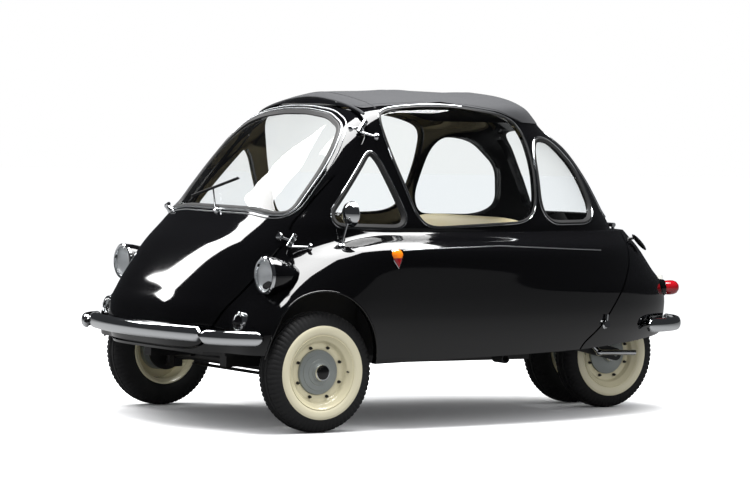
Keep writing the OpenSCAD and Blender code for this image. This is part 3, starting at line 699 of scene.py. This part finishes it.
# A second thin bead round the screen, and a rolled lip on each wheel arch.
p, n = on_front(*even(grown(screen_yz, 20), 14).T)
strip("windscreen_outer_bead", p, n, round_section(4, 3.5), ALLOY, "door")
arch_edge = np.array(ARCH[1:-1])
arch_edge = arch_edge[arch_edge[:, 1] > 268]
p, n = left(arch_edge)
lip = sweep(p, n, round_section(8, 4, -8), closed=False)
piece("arch_lips", pair(lip), PAINT, "body")

# A thin bright moulding runs back along the flank from the side lamp.
line_x = np.linspace(440, -622, 90)
line_z = np.interp(line_x, [-619, -40, 310, 542], [690, 712, 702, 691])
p, n = on_side(line_x, line_z)
piece("flank_mouldings", pair(sweep(p, n, round_section(4.5, 2.5), closed=False)), ALLOY,
      "body")

# ---------------------------------------------------------------- wheels
# Profiles are (radius, distance out from the wheel's middle) in mm.
def tyre_mesh():
    w, r = TYRE_W / 2, TYRE_R
    prof = [(130, -w + 17), (146, -w + 5), (165, -w + 1), (188, -w), (207, -w + 4),
            (219, -w + 10), (227, -w + 18), (229.5, -w + 26), (230, -w + 28), (226, -w + 29.5),
            (226, -w + 33.5), (230.6, -w + 35), (230.9, -w + 47), (226.5, -w + 48.5),
            (226.5, -3), (231, -1.5), (231, 1.5), (226.5, 3), (226.5, w - 48.5),
            (230.9, w - 47), (230.6, w - 35), (226, w - 33.5), (226, w - 29.5),
            (230, w - 28), (229.5, w - 26), (227, w - 18), (219, w - 10), (207, w - 4),
            (188, w), (165, w - 1), (146, w - 5), (130, w - 17)]
    steps = 288
    bm = bmesh.new()
    rows = []
    for i in range(steps):
        t = 2 * math.pi * i / steps
        groove = 3.2 if i % 4 == 0 else 0.0
        row = []
        for rr, h in prof:
            cut = groove if 205 < rr < 230.2 and abs(h) > w - 30 else 0.0
            q = rr - cut
            h2 = h - math.copysign(cut * 0.55, h) if rr < 228 else h
            row.append(bm.verts.new((q * math.cos(t), q * math.sin(t), h2)))
        rows.append(row)
    m = len(prof)
    for i in range(steps):
        a, b = rows[i], rows[(i + 1) % steps]
        for j in range(m):
            k = (j + 1) % m
            bm.faces.new([a[j], b[j], b[k], a[k]])
    return bm


def band_mesh():
    w = TYRE_W / 2
    return turn([(143, w - 5), (146, w - 1), (154, w + 1.5), (168, w + 2.5), (177, w + 1.5),
                 (181, w - 1.5), (180, w - 5), (150, w - 9)], 128)


def rim_mesh():
    w = TYRE_W / 2
    return turn([(66, w - 42), (84, w - 41), (92, w - 36), (104, w - 33), (112, w - 34),
                 (117, w - 29), (119, w - 20), (124, w - 14), (132, w - 11), (137, w - 4),
                 (141, w - 1), (144, w - 3), (143, w - 7), (135, w - 13), (129, w - 17),
                 (128.5, 17 - w), (136, 13 - w), (143, 7 - w), (143, 3 - w), (138, 3 - w),
                 (131, 10 - w), (122, 17 - w), (118, w - 38), (106, w - 42), (90, w - 46),
                 (66, w - 48)], 128)


def hub_mesh():
    w = TYRE_W / 2
    return turn([(0, w - 60), (80, w - 60), (86, w - 46), (87, w - 38), (84, w - 31),
                 (70, w - 27.5), (69, w - 25.5), (66, w - 25), (50, w - 22), (48, w - 19.5),
                 (45, w - 19), (36, w - 16), (35, w - 13), (30, w - 11), (27, w - 6),
                 (0, w - 5)], 96)


def cap_mesh():
    w = TYRE_W / 2
    dome = turn([(0, w - 6), (25, w - 6), (25.5, w + 1), (23, w + 5), (17, w + 7), (0, w + 8)],
                64)
    return dome


def nuts_mesh():
    w = TYRE_W / 2
    parts = []
    for k in range(8):
        t = math.pi / 4 * k + math.pi / 8
        bm = bmesh.new()
        bmesh.ops.create_cone(bm, cap_ends=True, segments=6, radius1=6.5, radius2=6.0, depth=8)
        bmesh.ops.translate(bm, vec=(100 * math.cos(t), 100 * math.sin(t), w - 28),
                            verts=bm.verts)
        stud = bmesh.new()
        bmesh.ops.create_cone(stud, cap_ends=True, segments=16, radius1=3, radius2=2.6, depth=6)
        bmesh.ops.translate(stud, vec=(100 * math.cos(t), 100 * math.sin(t), w - 20),
                            verts=stud.verts)
        parts += [bm, stud]
    return join(*parts)


def wheel(label, x, y, out, body):
    """The pieces of one wheel, its outer side towards out (+1 left, -1 right)."""
    place = facing((x, y, WHEEL_Z), (0, out, 0))
    made = {}
    for part, make, mat, slot in (
            ("tyre", tyre_mesh, TYRE, "tyre_rubber"), ("band", band_mesh, WALL, "rim_cream"),
            ("rim", rim_mesh, CREAM, "rim_cream"), ("hub", hub_mesh, HUBGREY, "hub_grey"),
            ("cap", cap_mesh, CAPBLACK, "hub_grey"), ("nuts", nuts_mesh, STEEL, "hub_grey")):
        made[part] = piece(f"{label}_{part}", moved(make(), place), mat, body, sharp=38)
    w = TYRE_W / 2
    made["ring"] = piece(f"{label}_cap_ring", moved(
        turn([(25, w - 5), (29, w - 6), (31, w - 2), (29, w + 2), (26, w + 3)], 64), place),
        CHROME, body)
    valve = rod((122, 0, w - 18), (118, 0, w - 2), 3.2)
    made["valve"] = piece(f"{label}_valve", moved(valve, place), RUBBER, body)
    return made


fl = wheel("front_wheel_left", AXLE_X, TRACK_Y, 1, "left_wheel")
fr = wheel("front_wheel_right", AXLE_X, -TRACK_Y, -1, "right_wheel")
rl = wheel("rear_wheel_left", REAR_X, TWIN_Y, 1, "rear_wheels")
rr = wheel("rear_wheel_right", REAR_X, -TWIN_Y, -1, "rear_wheels")
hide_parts("front_tyre_left")
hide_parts("front_rim_left")
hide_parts("hub_left")
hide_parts("front_tyre_right")
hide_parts("front_rim_right")
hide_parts("hub_right")
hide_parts("rear_tyres")
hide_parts("rear_rims")

# ---------------------------------------------------------------- lamps
HEADLAMP = (990, 565, 597)
LAMP_R = 73
ahead = facing(HEADLAMP, (1, 0, 0))
pod = turn([(0, -150), (26, -143), (46, -118), (62, -80), (69, -44), (71.5, -18), (70, -6),
            (66, -6), (65, -20), (54, -46), (30, -68), (0, -72)], 72)
ob = piece("headlamp_pods", pair(moved(pod, ahead)), PAINT, "body")
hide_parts("headlamps")
ring = turn([(61, -6), (70, -9), (74, -4), (73, 2), (68, 6), (62, 5)], 72)
piece("headlamp_rings", pair(moved(ring, ahead)), CHROME, "body")
lens = turn([(0, -3), (40, -5), (64, -9), (64, -2), (58, 3), (44, 8), (24, 11), (0, 12)], 72)
ob = piece("headlamp_glasses", pair(moved(lens, ahead)), LENS, "body")
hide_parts("headlamp_lenses")
bowl = turn([(0, -58), (24, -54), (44, -38), (57, -20), (63, -8), (65, -8), (60, -24),
             (46, -43), (25, -59), (0, -63)], 72)
piece("headlamp_reflectors", pair(moved(bowl, ahead)), SILVER, "body")
bulb = bmesh.new()
bmesh.ops.create_uvsphere(bulb, u_segments=20, v_segments=12, radius=11)
bmesh.ops.translate(bulb, vec=(0, 0, -42), verts=bulb.verts)
piece("headlamp_bulbs", pair(moved(bulb, ahead)), LENS, "body")

marker = facing((1072, 525, 421), (1, 0.03, 0.14))
ring = turn([(29, -30), (36, -30), (39, 2), (37, 9), (32, 11), (30, 6)], 56)
ob = piece("marker_lamp_rings", pair(moved(ring, marker)), CHROME, "body")
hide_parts("marker_lamps")
dome = turn([(0, 2), (30, 2), (31, 9), (27, 16), (17, 23), (0, 26)], 56)
piece("marker_lamp_glasses", pair(moved(dome, marker)), LENS, "body")
bowl = turn([(0, -22), (18, -18), (29, 0), (30, 0), (19, -20), (0, -24)], 56)
piece("marker_lamp_reflectors", pair(moved(bowl, marker)), SILVER, "body")

# Side lamp: a drop on the wing, amber over red, point down.
lamp_p, lamp_n = on_side(np.array([469.0]), np.array([680.0]))


def drop(depth, low, high, grow=0.0):
    """A drop-shaped dome in a frame whose Z is out and Y is up, between two heights."""
    bm = bmesh.new()
    rows = []
    for k in range(9):
        f = k / 8
        row = []
        for i in range(48):
            t = 2 * math.pi * i / 48
            y = math.sin(t)
            x = math.cos(t) * (1 if y > 0 else (1 + y)**0.55 * 0.9 + 0.1 * (1 + y))
            wide, tall = (25 + grow), ((24 if y > 0 else 52) + grow)
            s = math.cos(f * math.pi / 2)
            yy = min(max(y * tall * s, low), high)
            row.append(bm.verts.new((x * wide * s, yy, depth * math.sin(f * math.pi / 2))))
        rows.append(row)
    for a, b in zip(rows, rows[1:]):
        for i in range(48):
            j = (i + 1) % 48
            bm.faces.new([a[i], a[j], b[j], b[i]])
    bm.faces.new(rows[0][::-1])
    bm.faces.new(rows[-1])
    bmesh.ops.remove_doubles(bm, verts=bm.verts, dist=0.01)
    return bm


at_lamp = facing(lamp_p[0] - lamp_n[0] * 3, lamp_n[0])
ob = piece("side_lamp_amber", pair(moved(drop(16, -16, 60), at_lamp)), AMBER, "body")
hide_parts("side_lamps")
piece("side_lamp_red", pair(moved(drop(15.4, -60, -16), at_lamp)), RED, "body")
piece("side_lamp_bases", pair(moved(drop(5, -60, 60, 3), at_lamp)), CHROME, "body")

back = facing((-1190, 288, 518), (-0.94, 0.34, 0.04))
ob = piece("tail_lamp_domes", pair(moved(
    turn([(0, -32), (29, -32), (31, -4), (30, 12), (25, 26), (14, 35), (0, 38)], 56), back)), RED,
    "tail")
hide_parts("tail_lamps")
piece("tail_lamp_bases", pair(moved(
    turn([(0, -66), (38, -66), (36, -34), (34, -28), (30, -27), (0, -27)], 56), back)), PAINT,
    "tail")

# ---------------------------------------------------------------- bumpers
# A pressed blade: convex, with a rolled edge above and below.
def blade_section(h=62, d=24, t=3.0):
    outer = [(h / 2 * math.sin(a), d * (math.cos(a)**0.7) - d) for a in
             np.linspace(-math.pi / 2 * 0.97, math.pi / 2 * 0.97, 15)]
    inner = [(u * 0.93, v - t) for u, v in outer[::-1]]
    return outer + inner


def blade(label, cx, cy, z, r, a0, a1, body, cad=None, both_sides=True, h=62):
    ang = np.radians(np.linspace(a0, a1, 60))
    n = np.stack([np.cos(ang), np.sin(ang), np.zeros(60)], -1)
    p = np.array([cx, cy, z]) + n * r
    fade = np.linspace(0, 1, 60)
    bm = sweep(p, n, blade_section(h), closed=False)
    for v in bm.verts:
        t = (math.degrees(math.atan2(v.co.y - cy, v.co.x - cx)) % 360 - a0 % 360) % 360
        e = min(t, abs(a1 - a0) - t) * math.pi / 180 * r
        k = min(1.0, max(0.0, e / 26))
        v.co.z = z + (v.co.z - z) * (0.35 + 0.65 * math.sqrt(1 - (1 - k)**2))
    ob = piece(label, pair(bm) if both_sides else bm, CHROME, body)
    if cad:
        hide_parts(cad)
    return ob


blade("centre_bumper_blade", 1275 - 1461, 0, 369, 1461, -17.6, 17.6, "door", "centre_bumper",
      False)
blade("front_corner_blades", 938, 402, 362, 286, 14, 66, "body", "front_corner_bumpers", h=58)
blade("rear_blades", -930, 148, 372, 340, 90, 175, "tail", "rear_bumpers", h=58)
brackets = join(rod((1258, 150, 369), (1190, 150, 372), 13), rod((1258, -150, 369),
                                                              (1190, -150, 372), 13))
piece("centre_bumper_brackets", brackets, STEEL, "door")
piece("corner_bumper_brackets", pair(rod((1192, 520, 362), (1060, 520, 362), 11)), STEEL, "body")
piece("rear_bumper_brackets", pair(rod((-1155, 388, 372), (-1060, 340, 376), 11)), STEEL,
      "tail")

# ---------------------------------------------------------------- small fittings
MIRROR = (640, 600, 833)
head = facing(MIRROR, (1, 0, 0))
ob = piece("mirror_shell", moved(turn([(0, -18), (40, -18), (49, -17), (50, -12), (44, 4),
                                       (30, 15), (12, 21), (0, 22)], 56), head), CHROME, "body")
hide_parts("wing_mirror")
piece("mirror_glass", moved(turn([(0, -19.5), (46, -19.5), (46, -17), (0, -17)], 56), head),
      SILVER, "body")
foot_p, foot_n = on_side(np.array([665.0]), np.array([712.0]))
stem = join(rod((640, 600, 823), tuple(foot_p[0] - foot_n[0] * 3), 4.5),
            moved(turn([(0, -4), (15, -4), (15, 3), (10, 7), (0, 8)], 32),
                  facing(foot_p[0], foot_n[0])))
piece("mirror_stem", stem, CHROME, "body")

# Wiper: boss at the foot of the screen, arm, and a blade on the glass.
boss_p, boss_n = on_front(np.array([24.0]), np.array([822.0]))
tip_p, tip_n = on_front(np.array([-120.0]), np.array([905.0]))
lo_p, lo_n = on_front(np.array([-262.0]), np.array([872.0]))
hi_p, hi_n = on_front(np.array([10.0]), np.array([952.0]))
boss = moved(turn([(0, -12), (13, -12), (13, 6), (9, 16), (0, 18)], 32),
             facing(boss_p[0], boss_n[0]))
arm = rod(tuple(boss_p[0] + boss_n[0] * 13), tuple(tip_p[0] + tip_n[0] * 11), 3.2)
ob = piece("wiper_arm", join(boss, arm), CHROME, "door")
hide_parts("wiper")
piece("wiper_blade", join(rod(tuple(lo_p[0] + lo_n[0] * 9), tuple(hi_p[0] + hi_n[0] * 9), 3.0),
                          rod(tuple(lo_p[0] + lo_n[0] * 3), tuple(hi_p[0] + hi_n[0] * 3), 3.4)),
      RUBBER, "door")

# Door handle at the far side of the nose, and a dark pull beside each tail seam.
grip_p, grip_n = on_front(np.array([-420.0]), np.array([812.0]))
grip = moved(join(turn([(0, -8), (15, -8), (15, 4), (11, 12), (9, 30), (0, 32)], 32),
                  rod((0, 0, 28), (52, 14, 26), 7.5)), facing(grip_p[0], grip_n[0]))
ob = piece("door_handle_lever", grip, CHROME, "door")
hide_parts("door_handle")

# Dark leaf-shaped pull high on the tail cover, one each side.
pull_p, pull_n = on_side(np.array([-935.0, -1000.0]), np.array([728.0, 668.0]))
top, foot = (Vector(pull_p[k] + pull_n[k] * 24) for k in (0, 1))
leaf = bmesh.new()
bmesh.ops.create_uvsphere(leaf, u_segments=28, v_segments=16, radius=1)
bmesh.ops.scale(leaf, vec=(17, 8, (top - foot).length * 0.52), verts=leaf.verts)
grip_line = (foot - top).to_track_quat("Z", "Y").to_matrix().to_4x4()
pull = join(moved(leaf, Matrix.Translation((top + foot) / 2) @ grip_line),
            rod(tuple(pull_p[0] - pull_n[0] * 4), tuple(top * 0.8 + foot * 0.2), 6))
piece("tail_pulls", pair(pull), BAKELITE, "tail")

# Door hinges: three-part barrels on the raked hinge line, each with two posts.
HINGE_LOW, HINGE_TOP = Vector((858, 540, 726)), Vector((492, 450, 1170))
HINGE_DIR = (HINGE_TOP - HINGE_LOW).normalized()
BARREL = 24


def hinge_half(middle, feet, lengths, reach_back):
    """Barrels of r 11 between offsets along the hinge line, and a post to each foot."""
    parts = []
    for origin, foot in zip((HINGE_LOW, HINGE_TOP), feet):
        line = facing(origin, HINGE_DIR)
        for a, b in lengths:
            parts.append(moved(turn([(0, a), (9, a), (11, a + 2), (11, b - 2), (9, b), (0, b)],
                                    32), line))
        start = origin + HINGE_DIR * reach_back
        end = Vector(foot)
        parts.append(rod(start, end, middle))
        out = (start - end).normalized()
        parts.append(moved(turn([(0, -6), (16, -6), (16, 2), (11, 8), (0, 10)], 32),
                           facing(end, out)))
    return join(*parts)


posts = hinge_half(5, [(785, 548, 703), (438, 463, 1131)], [(-30, -12.5), (12.5, 30)], -27)
ob = piece("door_hinge_posts", posts, CHROME, "body")
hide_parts("door_hinges")
leaves = hinge_half(5, [(872, 476, 740), (520, 414, 1160)], [(-12, 12)], 0)
ob = piece("door_hinge_leaves", leaves, CHROME, "door")
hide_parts("door_hinge_arms")

# A domed boss and a short lever finish each tail latch.
latch_p, latch_n = on_side(np.array([-625.0]), np.array([386.0]))
latch = moved(join(turn([(0, -4), (17, -4), (17, 5), (12, 11), (0, 13)], 36),
                   rod((0, -4, 9), (4, 44, 7), 5.5)), facing(latch_p[0], latch_n[0]))
piece("tail_latch_levers", pair(latch), CHROME, "tail")

# ---------------------------------------------------------------- interior
panel("door_lining", SKIN_T, SKIN_T + 3, TRIM, "door", shine=False,
      keep=[prism(rounded([(-390, 400), (390, 400), (430, 700), (395, 800), (-395, 800),
                           (-430, 700)], 40), "x", 500, 1500)],
      stands_for=["door_trim"])
side_zone = rounded([(-380, 330), (515, 330), (515, 420), (450, 560), (555, 700), (555, 745),
                     (-380, 745)], 25)
lining = join(carve(grid_shell(SKIN_T, SKIN_T + 3, RINGS, COLS),
                    keep=[prism(side_zone, "y", 300, 800)]),
              carve(grid_shell(SKIN_T, SKIN_T + 3, RINGS, COLS),
                    keep=[prism(side_zone, "y", -800, -300)]))
ob = piece("side_linings", lining, TRIM, "body")
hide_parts("side_trims")
for hand, side in (("left", 1), ("right", -1)):
    xs = np.linspace(550, -375, 70)
    p, n = on_side(xs, np.full(70, 752.0), side)
    strip(f"window_ledge_{hand}", p - n * 34, n,
          [(9, -12), (9, 10), (0, 13), (-9, 10), (-9, -12)], TRIM, "body", closed=False)


def cushion(label, size, crown, pleats, place, body="body"):
    """A stuffed pad: crowned, its sides drawn in between the corners, with sewn channels."""
    lx, ly, lz = size
    nx, ny, nz = 36, 72, 14
    bm = bmesh.new()
    bmesh.ops.create_cube(bm, size=2.0)
    bmesh.ops.subdivide_edges(bm, edges=bm.edges[:], cuts=23, use_grid_fill=True)
    for v in bm.verts:
        x, y, z = v.co
        q = 5.0
        r = (abs(x)**q + abs(y)**q + abs(z)**q)**(1 / q)
        m = max(abs(x), abs(y), abs(z))
        x, y, z = x * m / r, y * m / r, z * m / r
        edge_in = 0.012 * (1 - abs(z))
        x *= 1 - edge_in * (1 - y * y)
        y *= 1 - edge_in * (1 - x * x)
        rise = crown * (1 - x * x) * (1 - y**4) * (1 if z > 0 else 0)
        seam = abs(((y + 1) / 2 * pleats) % 1 - 0.5) * 2
        dip = 5.5 * seam**8 * (1 - x**6) if z > 0 else 0
        v.co = (x * lx / 2, y * ly / 2, z * lz / 2 + rise - dip)
    return piece(label, moved(bm, place), SEAT, body, sharp=60)


pad = cushion("seat_cushion_pad", (458, 896, 112), 9, 9,
              Matrix.Translation((-110, 0, 437)))
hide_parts("seat_cushion")
lean = (Matrix.Translation((-337, 0, 498)) @ Matrix.Rotation(math.radians(-12), 4, "Y")
        @ Matrix.Translation((47, 0, 156)) @ Matrix.Rotation(math.radians(90), 4, "Y"))
back_pad = cushion("seat_back_pad", (304, 876, 84), 6, 9, lean)
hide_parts("seat_backrest")

# ---------------------------------------------------------------- CAD nodes left as they are
for names, mat in (
        (("tail_fittings", "exhaust"), CHROME), (("number_plate",), PLATE),
        (("floor_pan", "rear_bulkhead", "seat_frame", "steering_column", "foot_controls",
          "jacking_tubes", "front_axle_beam", "knuckle_left", "knuckle_right", "tie_rod",
          "rear_swing_arm"), STEEL),
        (("steering_wheel",), IVORY), (("engine_block",), ENGINE), (("rear_axle",), HUBGREY)):
    for name in names:
        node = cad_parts[name]
        node.data.materials.clear()
        node.data.materials.append(mat)

# ---------------------------------------------------------------- stage and light
paper = bpy.data.materials.new("studio_paper_white")
paper.use_nodes = True
pt = paper.node_tree
pt.nodes.clear()
ray = add(pt, "ShaderNodeLightPath")
pale = add(pt, "ShaderNodeBsdfDiffuse", Color=(0.9, 0.9, 0.9, 1))
dim = add(pt, "ShaderNodeBsdfDiffuse", Color=(0.16, 0.16, 0.16, 1))
mix = add(pt, "ShaderNodeMixShader", [("Fac", ray.outputs["Is Camera Ray"])])
pt.links.new(dim.outputs[0], mix.inputs[1])
pt.links.new(pale.outputs[0], mix.inputs[2])
add(pt, "ShaderNodeOutputMaterial", [("Surface", mix.outputs[0])])
floor = piece("studio_floor", block((0, 0, -2), (120000, 120000, 4)), paper, None)


def softbox(name, place, size, power, turned=0.0):
    """A box light that shines straight down, turned in plan by some degrees."""
    light = bpy.data.lights.new(name, "AREA")
    light.shape = "RECTANGLE"
    light.size, light.size_y = size
    light.energy = power
    ob = bpy.data.objects.new(name, light)
    ob.matrix_world = Matrix.Translation(place) @ Matrix.Rotation(math.radians(turned), 4, "Z")
    bpy.context.scene.collection.objects.link(ob)


softbox("overhead_box", (0.0, 0.35, 3.6), (3.6, 2.2), 420)
softbox("nose_box", (2.35, -4.0, 3.6), (1.5, 4.6), 300, 26)

world = bpy.data.worlds.new("studio")
bpy.context.scene.world = world
world.use_nodes = True
wt = world.node_tree
wt.nodes.clear()
path_kind = add(wt, "ShaderNodeLightPath")
seen = add(wt, "ShaderNodeBackground", Color=(1, 1, 1, 1), Strength=1.0)
fill = add(wt, "ShaderNodeBackground", Color=(0.97, 0.98, 1, 1), Strength=1.15)
dark = add(wt, "ShaderNodeBackground", Color=(0.9, 0.93, 1, 1), Strength=0.04)
glossy = add(wt, "ShaderNodeMixShader", [("Fac", path_kind.outputs["Is Glossy Ray"])])
wt.links.new(fill.outputs[0], glossy.inputs[1])
wt.links.new(dark.outputs[0], glossy.inputs[2])
mix = add(wt, "ShaderNodeMixShader", [("Fac", path_kind.outputs["Is Camera Ray"])])
wt.links.new(glossy.outputs[0], mix.inputs[1])
wt.links.new(seen.outputs[0], mix.inputs[2])
add(wt, "ShaderNodeOutputWorld", [("Surface", mix.outputs[0])])

# ---------------------------------------------------------------- camera
# Long lens from ahead on the car's left, near axle height, with a slight roll.
AZIMUTH, RISE, ROLL = math.radians(33.986), math.radians(2.527), math.radians(1.358)
DISTANCE, LENS_MM = 12.432, 144.18
target = Vector((-0.095, 0, 0.6))
toward = Vector((math.sin(AZIMUTH) * math.cos(RISE), math.cos(AZIMUTH) * math.cos(RISE),
                 math.sin(RISE)))
across = Vector((-math.cos(AZIMUTH), math.sin(AZIMUTH), 0))
upward = toward.cross(across)
across_r = across * math.cos(ROLL) + upward * math.sin(ROLL)
upward_r = upward * math.cos(ROLL) - across * math.sin(ROLL)
eye = target + toward * DISTANCE
FRAME_SHIFT = (0.1836, 0.0664)
aim = target - across_r * FRAME_SHIFT[0] + upward_r * FRAME_SHIFT[1]
z_axis = (eye - aim).normalized()
x_axis = (across_r - z_axis * across_r.dot(z_axis)).normalized()
y_axis = z_axis.cross(x_axis)
cam = bpy.data.cameras.new("camera")
cam.lens = LENS_MM
cam.sensor_width = 36
cam.clip_end = 100
camera = bpy.data.objects.new("camera", cam)
camera.matrix_world = Matrix.Translation(eye) @ Matrix(
    (x_axis, y_axis, z_axis)).transposed().to_4x4()
bpy.context.scene.collection.objects.link(camera)
bpy.context.scene.camera = camera
bpy.context.scene.view_settings.view_transform = "Standard"
